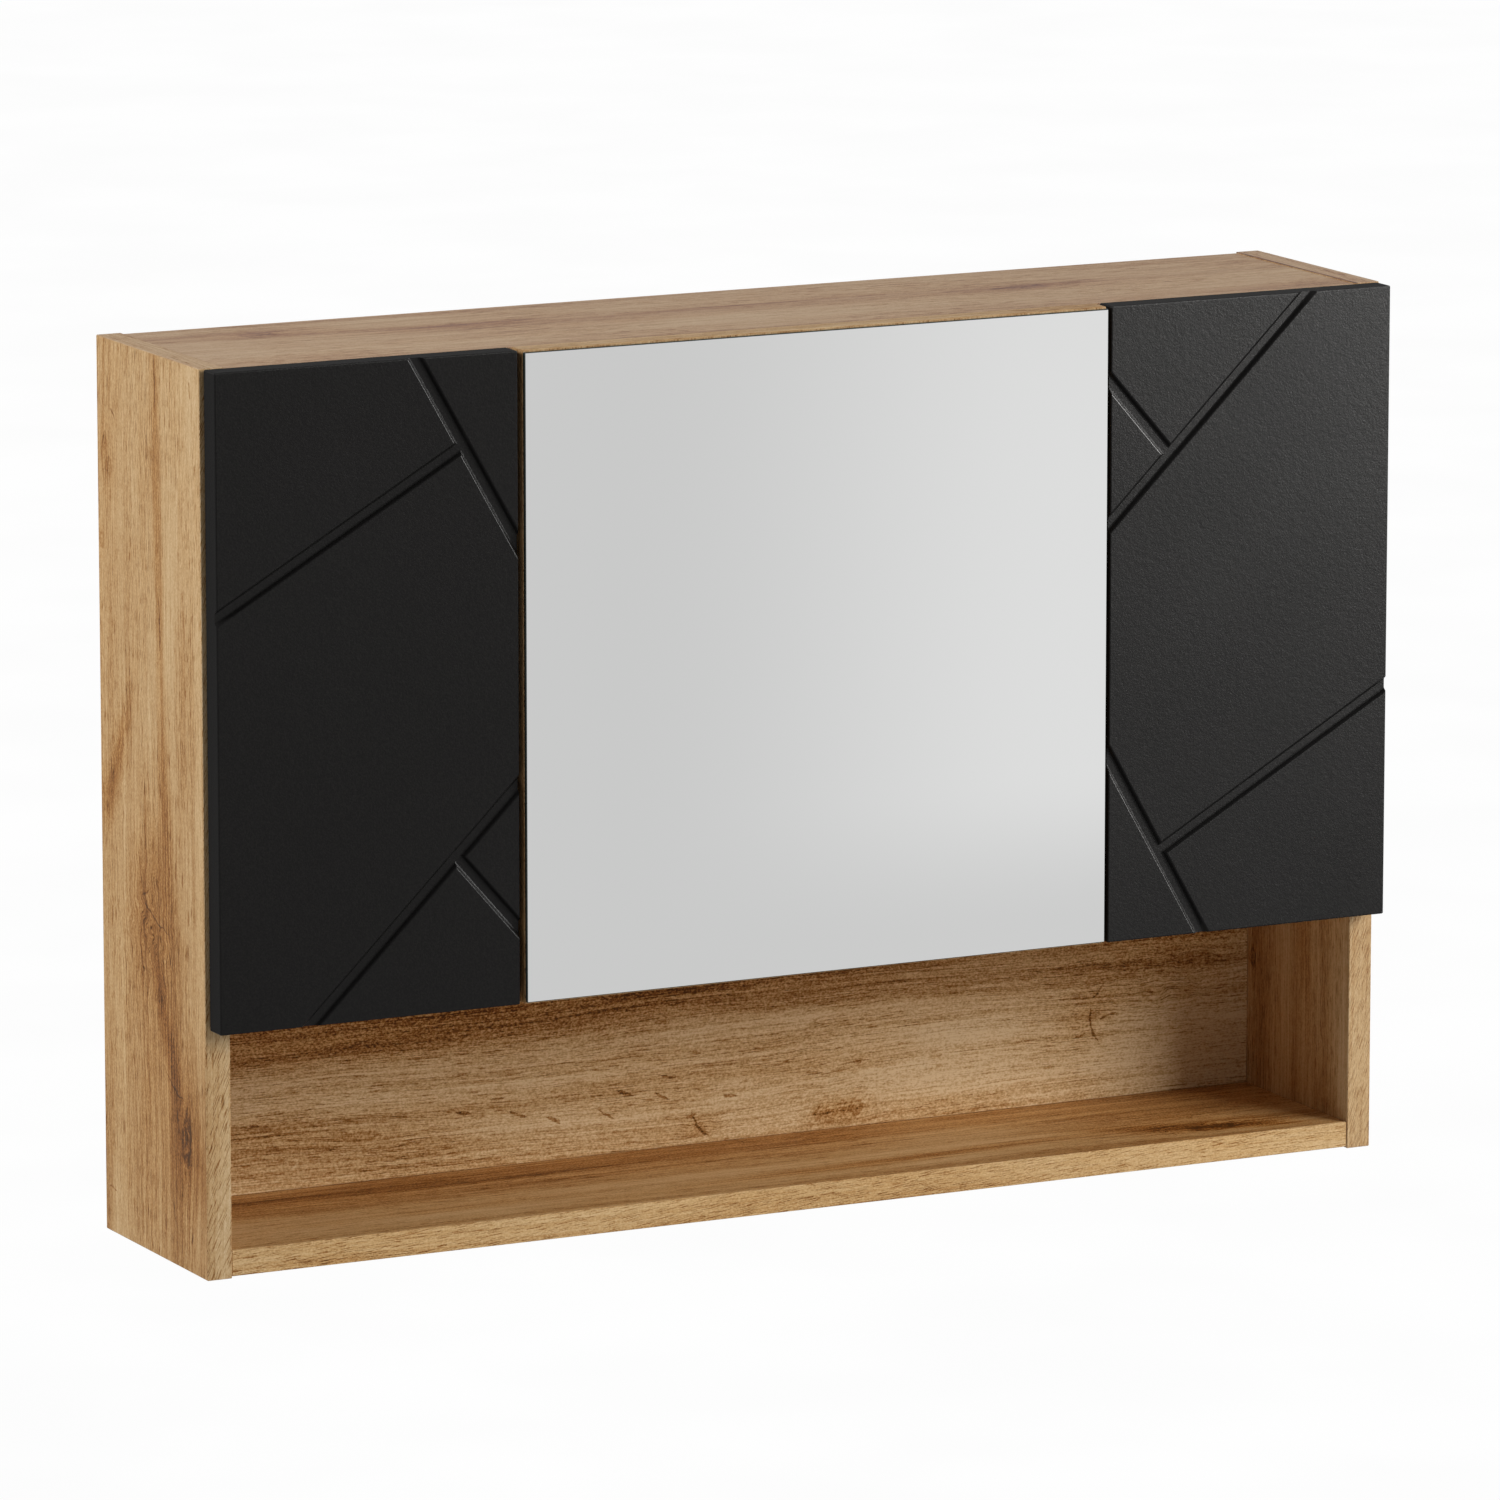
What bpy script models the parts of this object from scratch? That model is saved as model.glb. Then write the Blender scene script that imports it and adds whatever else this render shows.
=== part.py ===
"""Wall-hung bathroom cabinet: an oak-laminate carcass with an open niche at the bottom,
two black grooved doors and a mirror door between them, on concealed cup hinges.

Frame: metres, +Z up, +X along the width, -Y towards the front. Y = 0 is the wall plane,
and the origin is the centre of the bottom panel's rear edge.
"""

import math

import bmesh
import bpy
from mathutils import Matrix, Vector

# ---- carcass -------------------------------------------------------------------
WIDTH = 0.800            # over the side panels
DEPTH = 0.153            # side panels, front to wall
BOARD = 0.016            # laminated board
SIDE_LOW = -0.009        # lower edge of the side panels
SIDE_HIGH = 0.542        # upper edge of the side panels
SETBACK = 0.0008         # horizontal boards and dividers behind the sides' front edge
GAP = 0.0002             # between boards that meet
BOTTOM_MID = 0.0         # mid-plane of the bottom panel
TOP_HIGH = 0.5412        # upper face of the top panel
NICHE_CEILING = 0.145    # lower face of the fixed shelf
RECESS = 0.008           # hanging recess between the backs and the wall
HDF = 0.003              # rear sheet
HDF_IN = 0.006           # its depth in the grooves
HDF_PLAY = 0.0003
DIVIDER_X = 0.19925      # centre of each divider

# ---- doors ---------------------------------------------------------------------
DOOR_LOW = 0.1442
DOOR_HIGH = 0.5418
DOOR_GAP = 0.002         # carcass front to the back of a door
DOOR_T = 0.016
DOOR_INSET = 0.002       # outer edge of a side door from the carcass's side
DOOR_W = 0.197
MIRROR_W = 0.3953        # mirror door, board and glass
MIRROR_BOARD_T = 0.0152
GLASS_T = 0.003
GLUE = 0.0003
GLASS_LOW = 0.1453
GLASS_HIGH = 0.5407
EASE = 0.0009            # eased edges of the foil-wrapped doors
BOARD_EASE = 0.0004

# ---- milled grooves of the side doors --------------------------------------------
# (u, w) from the hinge-side upper corner of the left door: u across, w downwards.
GROOVES = (
    ((0.1301, 0.0), (0.1970, 0.1169)),
    ((0.0, 0.1467), (0.1612, 0.0544)),
    ((0.0587, 0.3976), (0.1970, 0.2625)),
    ((0.1565, 0.3045), (0.1970, 0.3508)),
)
GROOVE_EXTEND = ((1, 1), (1, 0), (1, 1), (0, 1))   # which ends run out past the door
GROOVE_TOP = 0.0088      # width at the face
GROOVE_FLOOR = 0.0052    # width at the floor
GROOVE_D = 0.0028        # depth
GROOVE_LIP = 0.0005      # rounded lip

# ---- hinges: u from the door's hinge edge inwards, v from its back to its front ----
PIN_U, PIN_V, PIN_R = 0.0063, 0.0115, 0.0008
PIN_HALF = 0.0084
EYE_R, EYE_BORE = 0.0017, 0.00105
CUP_U, CUP_R, CUP_WALL = 0.0198, 0.0174, 0.0005
CUP_FLOOR = 0.0139       # outside of the cup's floor
CUP_BORE_R, CUP_BORE_D = 0.0177, 0.0142
FLANGE_R, FLANGE_T = 0.0195, 0.0007
HOOK_HALF = 0.0045       # half the hook's height
STEM_IN, STEM_OUT = 0.0188, 0.0228
HINGE_INSET = 0.070      # hinge centre from the door's upper and lower edges
ARM_BACK = -0.053        # rear end of the arm, as v
ARM_OUT = 0.0258
ARM_HALF = 0.0065

# ---- loose shelves and their pegs --------------------------------------------------
SHELF_UNDER = 0.335
SHELF_BACK, SHELF_FRONT = -0.0145, -0.136
PEG_Y = (-0.036, -0.116)
PEG_R, PEG_STEM_R, PEG_HOLE_R = 0.003, 0.0024, 0.0027
PEG_STEM, PEG_HOLE = 0.0066, 0.0075
PEG_OUT = 0.009

# ---- wall hangers --------------------------------------------------------------------
HANGER_MID = 0.492
HANGER_T, HANGER_DEEP, HANGER_HIGH = 0.0175, 0.034, 0.056
HOOK_T = 0.002

FRONT = -DEPTH
DOOR_BACK = FRONT - DOOR_GAP
INNER = WIDTH / 2 - BOARD

for old in list(bpy.data.objects):
    bpy.data.objects.remove(old, do_unlink=True)


def material(name, colour, roughness, metallic=0.0):
    mat = bpy.data.materials.new(name)
    mat.use_nodes = True
    shader = mat.node_tree.nodes["Principled BSDF"]
    shader.inputs["Base Color"].default_value = (*colour, 1.0)
    shader.inputs["Roughness"].default_value = roughness
    shader.inputs["Metallic"].default_value = metallic
    mat.diffuse_color = (*colour, 1.0)
    return mat


OAK = material("oak_laminate", (0.43, 0.28, 0.16), 0.55)
BLACK = material("black_foil", (0.022, 0.021, 0.021), 0.5)
MIRROR = material("mirror_glass", (0.82, 0.83, 0.83), 0.03, 1.0)
SHEET = material("rear_sheet", (0.46, 0.36, 0.26), 0.7)
NICKEL = material("nickelled_steel", (0.62, 0.61, 0.58), 0.28, 1.0)
ZINC = material("zinc_plated_steel", (0.55, 0.56, 0.57), 0.38, 1.0)
WHITE = material("white_plastic", (0.75, 0.75, 0.73), 0.45)
SILICONE = material("clear_silicone", (0.7, 0.7, 0.68), 0.3)


def place(name, mesh, mat, at=(0, 0, 0)):
    obj = bpy.data.objects.new(name, mesh)
    bpy.context.scene.collection.objects.link(obj)
    obj.location = at
    if mat:
        mesh.materials.append(mat)
    return obj


def mesh_from(name, bm):
    bmesh.ops.recalc_face_normals(bm, faces=bm.faces)
    mesh = bpy.data.meshes.new(name)
    bm.to_mesh(mesh)
    bm.free()
    return mesh


def ease(obj, width, segments=1):
    bevel = obj.modifiers.new("eased_edges", "BEVEL")
    bevel.width = width
    bevel.segments = segments
    bevel.limit_method = "ANGLE"
    bevel.harden_normals = False
    return obj


def block(name, low, high, mat=None, eased=0.0, segments=1):
    """A board or block between two corners, its origin at its centre."""
    low, high = Vector(low), Vector(high)
    half = (high - low) / 2
    bm = bmesh.new()
    bmesh.ops.create_cube(bm, size=2.0, matrix=Matrix.Diagonal((*half, 1.0)))
    obj = place(name, mesh_from(name, bm), mat, (low + high) / 2)
    if eased:
        ease(obj, eased, segments)
    return obj


def prism(name, outline, low, high, axis="Z", mat=None):
    """An outline extruded along an axis. Outline pairs are the other two axes, in X, Y, Z order."""
    def point(a, b, c):
        return {"X": (c, a, b), "Y": (a, c, b), "Z": (a, b, c)}[axis]

    bm = bmesh.new()
    face = bm.faces.new([bm.verts.new(point(a, b, low)) for a, b in outline])
    made = bmesh.ops.extrude_face_region(bm, geom=[face])
    move = Vector(point(0, 0, high - low)) - Vector(point(0, 0, 0))
    bmesh.ops.translate(
        bm, vec=move, verts=[v for v in made["geom"] if isinstance(v, bmesh.types.BMVert)]
    )
    return place(name, mesh_from(name, bm), mat)


def turned(name, profile, steps, axis, mat=None, at=(0, 0, 0)):
    """A solid of revolution: (distance along the axis, radius) pairs that start and end on it."""
    along = Vector(axis).normalized()
    side = along.orthogonal().normalized()
    other = along.cross(side)
    bm = bmesh.new()
    rings = []
    for a, r in profile:
        if r == 0:
            rings.append([bm.verts.new(along * a)])
            continue
        turn = [2 * math.pi * (k + 0.5) / steps for k in range(steps)]
        rings.append(
            [bm.verts.new(along * a + (side * math.cos(t) + other * math.sin(t)) * r) for t in turn]
        )
    for one, two in zip(rings, rings[1:]):
        for k in range(steps):
            n = (k + 1) % steps
            if len(one) == 1:
                bm.faces.new((one[0], two[k], two[n]))
            elif len(two) == 1:
                bm.faces.new((one[k], two[0], one[n]))
            else:
                bm.faces.new((one[k], two[k], two[n], one[n]))
    mesh = mesh_from(name, bm)
    mesh.shade_smooth()
    mesh.set_sharp_from_angle(angle=math.radians(35))
    return place(name, mesh, mat, at)


def helper(obj):
    obj.hide_render = True
    obj.display_type = "WIRE"
    return obj


def combine(obj, tool, operation):
    step = obj.modifiers.new(tool.name, "BOOLEAN")
    step.operation = operation
    step.object = helper(tool)
    return obj


def cut(obj, tool):
    return combine(obj, tool, "DIFFERENCE")


def join(obj, tool):
    return combine(obj, tool, "UNION")


def carry(empty, *pieces):
    """Parents pieces to an empty that only has a location, without moving them."""
    for piece in pieces:
        piece.parent = empty
        piece.location = Vector(piece.location) - Vector(empty.location)


def axis_empty(name, at):
    empty = bpy.data.objects.new(name, None)
    bpy.context.scene.collection.objects.link(empty)
    empty.location = at
    return empty


# ---- carcass -------------------------------------------------------------------------
front_in = FRONT + SETBACK
sheet_back, sheet_front = -RECESS - HDF_PLAY, -RECESS - HDF_PLAY - HDF
groove_y = (-RECESS, sheet_front - HDF_PLAY)
top_low = TOP_HIGH - BOARD
fixed_high = NICHE_CEILING + BOARD
sheet_low, sheet_high = fixed_high - HDF_IN, top_low + HDF_IN

sides = {}
for sign, word in ((-1, "left"), (1, "right")):
    outer, inner = sign * WIDTH / 2, sign * INNER
    panel = block(
        f"side_panel_{word}",
        (min(outer, inner), FRONT, SIDE_LOW),
        (max(outer, inner), 0.0, SIDE_HIGH),
        OAK, BOARD_EASE,
    )
    reach = sign * (INNER + HDF_IN + HDF_PLAY)
    cut(panel, block(
        f"cut_sheet_groove_{word}",
        (min(inner - sign * 0.002, reach), groove_y[1], NICHE_CEILING + 0.004),
        (max(inner - sign * 0.002, reach), groove_y[0], TOP_HIGH - 0.006),
    ))
    sides[word] = panel

x_in = INNER - GAP
bottom = block("bottom_panel", (-x_in, front_in, BOTTOM_MID - BOARD / 2), (x_in, 0.0, BOTTOM_MID + BOARD / 2), OAK, BOARD_EASE)
top = block("top_panel", (-x_in, front_in, top_low), (x_in, 0.0, TOP_HIGH), OAK, BOARD_EASE)
cut(top, block("cut_top_groove", (-x_in - 0.002, groove_y[1], top_low - 0.002), (x_in + 0.002, groove_y[0], sheet_high + HDF_PLAY)))
fixed = block("fixed_shelf", (-x_in, front_in, NICHE_CEILING), (x_in, -RECESS, fixed_high), OAK, BOARD_EASE)
cut(fixed, block("cut_fixed_groove", (-x_in - 0.002, groove_y[1], sheet_low - HDF_PLAY), (x_in + 0.002, 0.002, fixed_high + 0.002)))
niche_back = block(
    "niche_back_panel",
    (-x_in, -0.024, BOTTOM_MID + BOARD / 2 + GAP),
    (x_in, -RECESS, NICHE_CEILING - GAP),
    OAK, BOARD_EASE,
)
rear = block("back_panel", (-INNER - HDF_IN, sheet_front, sheet_low), (INNER + HDF_IN, sheet_back, sheet_high), SHEET)

dividers = {}
for sign, word in ((-1, "left"), (1, "right")):
    centre = sign * DIVIDER_X
    dividers[word] = block(
        f"divider_{word}",
        (centre - BOARD / 2, front_in, fixed_high + GAP),
        (centre + BOARD / 2, sheet_front - HDF_PLAY, top_low - GAP),
        OAK, BOARD_EASE,
    )

# ---- loose shelves on pegs ---------------------------------------------------------------
bays = {
    "left": (-INNER, -DIVIDER_X - BOARD / 2, sides["left"], dividers["left"]),
    "middle": (-DIVIDER_X + BOARD / 2, DIVIDER_X - BOARD / 2, dividers["left"], dividers["right"]),
    "right": (DIVIDER_X + BOARD / 2, INNER, dividers["right"], sides["right"]),
}
peg_z = SHELF_UNDER - GAP - PEG_R
for bay, (x0, x1, wall0, wall1) in bays.items():
    block(
        f"shelf_{bay}",
        (x0 + 0.0008, SHELF_FRONT, SHELF_UNDER),
        (x1 - 0.0008, SHELF_BACK, SHELF_UNDER + BOARD),
        OAK, BOARD_EASE,
    )
    for end, (x, wall, way) in {"left": (x0, wall0, 1), "right": (x1, wall1, -1)}.items():
        for y, place_word in zip(PEG_Y, ("rear", "front")):
            turned(
                f"shelf_peg_{bay}_{end}_{place_word}",
                ((-PEG_STEM, 0), (-PEG_STEM, PEG_STEM_R - 0.0004), (-PEG_STEM + 0.0004, PEG_STEM_R),
                 (GAP, PEG_STEM_R), (GAP, PEG_R), (PEG_OUT - 0.0005, PEG_R), (PEG_OUT, PEG_R - 0.0006), (PEG_OUT, 0)),
                12, (way, 0, 0), NICKEL, (x, y, peg_z),
            )
            cut(wall, turned(
                f"cut_peg_{bay}_{end}_{place_word}",
                ((-PEG_HOLE, 0), (-PEG_HOLE, PEG_HOLE_R), (0.001, PEG_HOLE_R), (0.001, 0)),
                12, (way, 0, 0), None, (x, y, peg_z),
            ))

# ---- doors ---------------------------------------------------------------------------------
left_edge = -WIDTH / 2 + DOOR_INSET
mirror_edge = -MIRROR_W / 2
right_edge = WIDTH / 2 - DOOR_INSET
pin_y = DOOR_BACK - PIN_V
axes = {
    "left": axis_empty("door_left_axis", (left_edge + PIN_U, pin_y, 0)),
    "mirror": axis_empty("door_mirror_axis", (mirror_edge + PIN_U, pin_y, 0)),
    "right": axis_empty("door_right_axis", (right_edge - PIN_U, pin_y, 0)),
}
hinge_z = {"upper": DOOR_HIGH - HINGE_INSET, "lower": DOOR_LOW + HINGE_INSET}

doors = {
    "left": block("door_left_panel", (left_edge, DOOR_BACK - DOOR_T, DOOR_LOW), (left_edge + DOOR_W, DOOR_BACK, DOOR_HIGH), BLACK, EASE, 2),
    "mirror": block("door_mirror_board", (mirror_edge, DOOR_BACK - MIRROR_BOARD_T, DOOR_LOW), (-mirror_edge, DOOR_BACK, DOOR_HIGH), OAK, BOARD_EASE),
    "right": block("door_right_panel", (right_edge - DOOR_W, DOOR_BACK - DOOR_T, DOOR_LOW), (right_edge, DOOR_BACK, DOOR_HIGH), BLACK, EASE, 2),
}
glass_back = DOOR_BACK - MIRROR_BOARD_T - GLUE
glass = block("mirror_glass", (mirror_edge, glass_back - GLASS_T, GLASS_LOW), (-mirror_edge, glass_back, GLASS_HIGH), MIRROR, 0.0005)


def groove_profile():
    """Half of the cutter's section, from the floor's middle outwards: (offset, depth below the face)."""
    top, floor = GROOVE_TOP / 2, GROOVE_FLOOR / 2
    slope = Vector((top - floor, GROOVE_D)).normalized()
    lip = [
        (top - slope.x * GROOVE_LIP, GROOVE_LIP * slope.y),
        (top + GROOVE_LIP * 0.3, GROOVE_LIP * 0.22),
        (top + GROOVE_LIP, 0.0),
    ]
    return [(floor - 0.0005, GROOVE_D), (floor + 0.0002, GROOVE_D - 0.0004), *lip, (top + GROOVE_LIP, -0.002)]


def groove_tool(name, start, end, extend, to_world):
    """A bar with the groove's section along one run, in the door's (u, w) plane."""
    a, b = Vector(start), Vector(end)
    way = (b - a).normalized()
    a = a - way * (0.012 if extend[0] else 0.0)
    b = b + way * (0.012 if extend[1] else 0.0)
    normal = Vector((-way.y, way.x))
    half = groove_profile()
    section = [(-o, d) for o, d in half] + [(o, d) for o, d in reversed(half)]
    bm = bmesh.new()
    ends = []
    for point in (a, b):
        ends.append([bm.verts.new(to_world(*(point + normal * o), d)) for o, d in section])
    bm.faces.new(ends[0])
    bm.faces.new(reversed(ends[1]))
    n = len(section)
    for k in range(n):
        m = (k + 1) % n
        bm.faces.new((ends[0][k], ends[1][k], ends[1][m], ends[0][m]))
    return place(name, mesh_from(name, bm), None)


door_face = DOOR_BACK - DOOR_T
for k, ((start, end), extend) in enumerate(zip(GROOVES, GROOVE_EXTEND)):
    cut(doors["left"], groove_tool(
        f"cut_groove_left_{k}", start, end, extend,
        lambda u, w, d: (left_edge + u, door_face + d, DOOR_HIGH - w),
    ))
    # The right door is the left one turned half round in its own plane.
    cut(doors["right"], groove_tool(
        f"cut_groove_right_{k}", start, end, extend,
        lambda u, w, d: (right_edge - u, door_face + d, DOOR_LOW + w),
    ))


# ---- concealed hinges --------------------------------------------------------------------------
def arc(cx, cy, r, a0, a1, steps):
    return [
        (cx + r * math.cos(math.radians(a0 + (a1 - a0) * k / steps)), cy + r * math.sin(math.radians(a0 + (a1 - a0) * k / steps)))
        for k in range(steps + 1)
    ]


HOOK = [
    (STEM_IN, ARM_BACK + 0.004), (STEM_OUT, ARM_BACK + 0.004), (STEM_OUT, PIN_V - 0.0002), (STEM_OUT - 0.0018, PIN_V + 0.0016),
    *arc(PIN_U, PIN_V, EYE_R, 90, 270, 8),
    (PIN_U + 0.0016, PIN_V - 0.0013), (STEM_IN - 0.0014, PIN_V - 0.0013), (STEM_IN, PIN_V - 0.0027),
]


def hinge(door, level, edge, way, wall):
    """One hinge: plate and arm on the carcass, cup and pin on the door. way is +1 where u runs along +X."""
    tag = f"{door}_{level}"
    z = hinge_z[level]

    def x(u):
        return edge + way * u

    def y(v):
        return DOOR_BACK - v

    def flat(points):
        return [(x(u), y(v)) for u, v in points]

    def box(name, u0, u1, v0, v1, half, mat=None, eased=0.0):
        return block(name, (min(x(u0), x(u1)), y(v1), z - half), (max(x(u0), x(u1)), y(v0), z + half), mat, eased)

    wall_u = abs(wall - edge)
    top_u = STEM_IN - 0.0003
    plate = prism(
        f"hinge_plate_{tag}",
        [(y(a), z + b) for a, b in (
            (-0.012, -0.006), (-0.012, 0.006), (-0.026, 0.006), (-0.026, 0.022), (-0.038, 0.022), (-0.038, 0.006),
            (-0.050, 0.006), (-0.050, -0.006), (-0.038, -0.006), (-0.038, -0.022), (-0.026, -0.022), (-0.026, -0.006))],
        min(x(wall_u + 0.0002), x(wall_u + 0.0022)), max(x(wall_u + 0.0002), x(wall_u + 0.0022)), "X", NICKEL,
    )
    join(plate, box(f"add_plate_{tag}", wall_u + 0.0010, top_u, -0.049, -0.014, 0.0055))

    arm = prism(f"hinge_arm_{tag}", flat(HOOK), z - HOOK_HALF, z + HOOK_HALF, "Z", NICKEL)
    join(arm, box(f"add_arm_{tag}", STEM_IN, ARM_OUT, ARM_BACK, -0.006, ARM_HALF, None, 0.0012))
    cut(arm, turned(
        f"cut_eye_{tag}", ((-0.008, 0), (-0.008, EYE_BORE), (0.008, EYE_BORE), (0.008, 0)),
        12, (0, 0, 1), None, (x(PIN_U), y(PIN_V), z),
    ))

    inner_r, floor_in = CUP_R - CUP_WALL, CUP_FLOOR - CUP_WALL
    cup = turned(
        f"hinge_cup_{tag}",
        ((CUP_FLOOR, 0), (CUP_FLOOR, CUP_R - 0.001), (CUP_FLOOR - 0.001, CUP_R), (-0.0002, CUP_R), (-0.0002, FLANGE_R),
         (-0.0002 - FLANGE_T, FLANGE_R), (-0.0002 - FLANGE_T, inner_r), (floor_in - 0.0006, inner_r), (floor_in, inner_r - 0.0006), (floor_in, 0)),
        28, (0, -1, 0), NICKEL, (x(CUP_U), DOOR_BACK, z),
    )
    wing = prism(
        f"add_wing_{tag}",
        [(x(CUP_U + a), z + b) for a, b in (
            (0.0172, 0.014), (0.0150, 0.0255), (0.0135, 0.0270), (0.0055, 0.0270), (0.0040, 0.0255), (0.0005, 0.0175),
            (0.0005, 0.0172), (0.0172, 0.0060))],
        DOOR_BACK + 0.0002, DOOR_BACK + 0.0002 + FLANGE_T, "Y",
    )
    wing_low = prism(
        f"add_wing_low_{tag}",
        [(x(CUP_U + a), z - b) for a, b in (
            (0.0172, 0.014), (0.0150, 0.0255), (0.0135, 0.0270), (0.0055, 0.0270), (0.0040, 0.0255), (0.0005, 0.0175),
            (0.0005, 0.0172), (0.0172, 0.0060))],
        DOOR_BACK + 0.0002, DOOR_BACK + 0.0002 + FLANGE_T, "Y",
    )
    join(cup, wing)
    join(cup, wing_low)
    cut(cup, box(f"cut_flange_{tag}", -0.004, 0.009, -0.004, 0.0006, 0.030))

    pin = turned(
        f"hinge_pin_{tag}", ((-PIN_HALF, 0), (-PIN_HALF, PIN_R), (PIN_HALF, PIN_R), (PIN_HALF, 0)),
        10, (0, 0, 1), NICKEL, (x(PIN_U), y(PIN_V), z),
    )
    cut(doors[door], turned(
        f"cut_cup_{tag}", ((-0.002, 0), (-0.002, CUP_BORE_R), (CUP_BORE_D, CUP_BORE_R), (CUP_BORE_D, 0)),
        32, (0, -1, 0), None, (x(CUP_U), DOOR_BACK, z),
    ))
    carry(axes[door], cup, pin)


for level in ("upper", "lower"):
    hinge("left", level, left_edge, 1, -INNER)
    hinge("mirror", level, mirror_edge, 1, -DIVIDER_X + BOARD / 2)
    hinge("right", level, right_edge, -1, INNER)

# ---- soft stops on the doors' free lower corners ---------------------------------------------
for door, x in (("left", -0.222), ("mirror", 0.180), ("right", 0.222)):
    stop = turned(
        f"door_buffer_{door}",
        ((0.0002, 0), (0.0002, 0.0042), (0.0010, 0.0042), (0.0020, 0.0028), (0.0023, 0)),
        14, (0, 1, 0), SILICONE, (x, DOOR_BACK, 0.1535),
    )
    carry(axes[door], stop)

carry(axes["left"], doors["left"])
carry(axes["mirror"], doors["mirror"], glass)
carry(axes["right"], doors["right"])

# ---- wall hangers: a housing in each upper rear corner, with a hook through the rear sheet ------
for sign, word in ((-1, "left"), (1, "right")):
    near = sign * (INNER - GAP)
    far = sign * (INNER - GAP - HANGER_T)
    mid = (near + far) / 2
    y_back = sheet_front - 0.0003
    housing = block(
        f"hanger_housing_{word}",
        (min(near, far), y_back - HANGER_DEEP, HANGER_MID - HANGER_HIGH / 2),
        (max(near, far), y_back, HANGER_MID + HANGER_HIGH / 2),
        WHITE, 0.002, 2,
    )
    cut(housing, block(
        f"cut_hook_slot_{word}",
        (mid - HOOK_T / 2 - 0.0004, y_back - HANGER_DEEP + 0.006, HANGER_MID - 0.001),
        (mid + HOOK_T / 2 + 0.0004, y_back + 0.004, HANGER_MID + 0.0165),
    ))
    prism(
        f"hanger_hook_{word}",
        [(y_back - HANGER_DEEP + 0.0065, HANGER_MID), (-0.0040, HANGER_MID), (-0.0040, HANGER_MID - 0.010), (-0.0032, HANGER_MID - 0.0115),
         (-0.0018, HANGER_MID - 0.0115), (-0.0018, HANGER_MID + 0.013), (-0.0040, HANGER_MID + 0.0155), (y_back - HANGER_DEEP + 0.0065, HANGER_MID + 0.0155)],
        mid - HOOK_T / 2, mid + HOOK_T / 2, "X", ZINC,
    )
    cut(rear, block(
        f"cut_sheet_slot_{word}",
        (mid - 0.0035, sheet_front - 0.004, HANGER_MID - 0.014),
        (mid + 0.0035, sheet_back + 0.004, HANGER_MID + 0.019),
    ))
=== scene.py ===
"""Wall-hung bathroom cabinet with an open niche, two black grooved doors and a mirror door.
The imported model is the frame: boards and hardware stay where it has them, and this script gives
them their finishes, adds the small hardware, and sets the studio."""

import math

import bmesh
import bpy
from mathutils import Euler, Matrix, Vector


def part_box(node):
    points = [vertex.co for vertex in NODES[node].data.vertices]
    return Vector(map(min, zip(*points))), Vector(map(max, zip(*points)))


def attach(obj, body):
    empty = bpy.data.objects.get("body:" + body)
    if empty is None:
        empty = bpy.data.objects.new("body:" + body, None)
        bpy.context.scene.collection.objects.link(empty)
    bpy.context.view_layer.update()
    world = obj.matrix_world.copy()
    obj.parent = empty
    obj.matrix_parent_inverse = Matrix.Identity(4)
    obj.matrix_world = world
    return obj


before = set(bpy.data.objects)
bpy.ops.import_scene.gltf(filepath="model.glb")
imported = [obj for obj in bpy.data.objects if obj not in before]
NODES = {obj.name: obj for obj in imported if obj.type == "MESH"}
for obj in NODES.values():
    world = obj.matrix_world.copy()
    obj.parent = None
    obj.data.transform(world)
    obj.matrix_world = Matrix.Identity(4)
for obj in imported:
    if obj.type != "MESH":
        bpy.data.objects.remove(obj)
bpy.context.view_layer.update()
scene = bpy.context.scene

# ---------------------------------------------------------------- camera
YAW, PITCH = 26.692, 10.832
cam_data = bpy.data.cameras.new("camera")
cam_data.sensor_width = 36.0
cam_data.lens = 249.25
cam_data.clip_start, cam_data.clip_end = 0.1, 100.0
cam = bpy.data.objects.new("camera", cam_data)
scene.collection.objects.link(cam)
cam.location = (-2.82109, -5.68953, 1.46874)
cam.rotation_euler = Euler((math.radians(90 - PITCH), 0, math.radians(-YAW)), "XYZ")
scene.camera = cam
scene.view_settings.view_transform = "Standard"
scene.view_settings.look = "None"


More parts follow.
